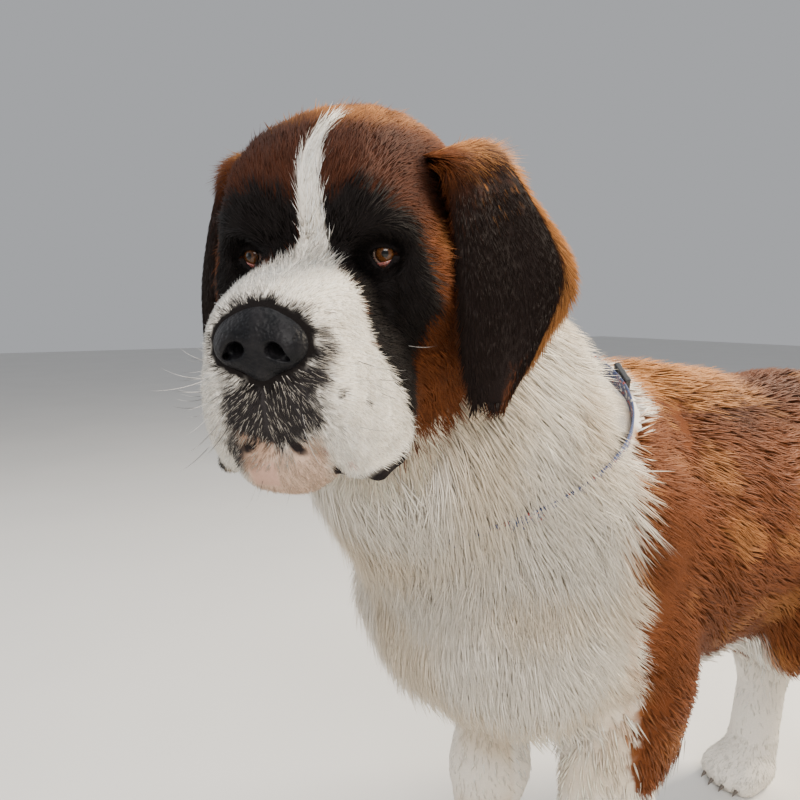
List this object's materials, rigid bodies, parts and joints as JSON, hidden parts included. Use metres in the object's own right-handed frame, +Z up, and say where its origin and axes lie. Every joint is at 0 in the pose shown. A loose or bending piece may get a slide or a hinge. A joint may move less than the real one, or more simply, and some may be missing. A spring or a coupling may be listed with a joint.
{
  "type": "saint bernard",
  "caption": "Life-size standing Saint Bernard with its head turned to its left, long coat, plain webbing collar.",
  "frame": {"origin": "on the floor under the middle of the whole model's bounding box", "axes": "+Z up; the body faces -Y, its left side is +X, and the head looks towards +X and -Y"},
  "size_m": [0.4416, 1.2588, 0.9844],
  "materials": {
    "coat_white": "white hair, slightly cream, soft and dull",
    "coat_rust": "rust and mahogany hair with golden tips",
    "coat_dark": "dark brown to black hair",
    "nose_leather": "moist black pebbled leather",
    "lip_skin": "soft pink and tan skin with short white hair",
    "eye": "wet amber brown eye",
    "webbing": "blue woven webbing with small red and white flecks",
    "slider_plastic": "moulded black plastic, fine satin"
  },
  "bodies": {
    "root": {"head": "coat_dark", "nose": "nose_leather", "lower_jaw": "lip_skin", "eye_left": "eye", "eye_right": "eye", "ear_left": "coat_dark", "ear_right": "coat_dark", "neck": "coat_white", "torso": "coat_rust", "foreleg_left": "coat_white", "foreleg_right": "coat_white", "forepaw_left": "coat_white", "forepaw_right": "coat_white", "thigh_left": "coat_rust", "thigh_right": "coat_rust", "hindleg_left": "coat_white", "hindleg_right": "coat_white", "hindpaw_left": "coat_white", "hindpaw_right": "coat_white", "tail": "coat_rust", "collar_band": "webbing", "collar_slider": "slider_plastic"}
  },
  "joints": []
}
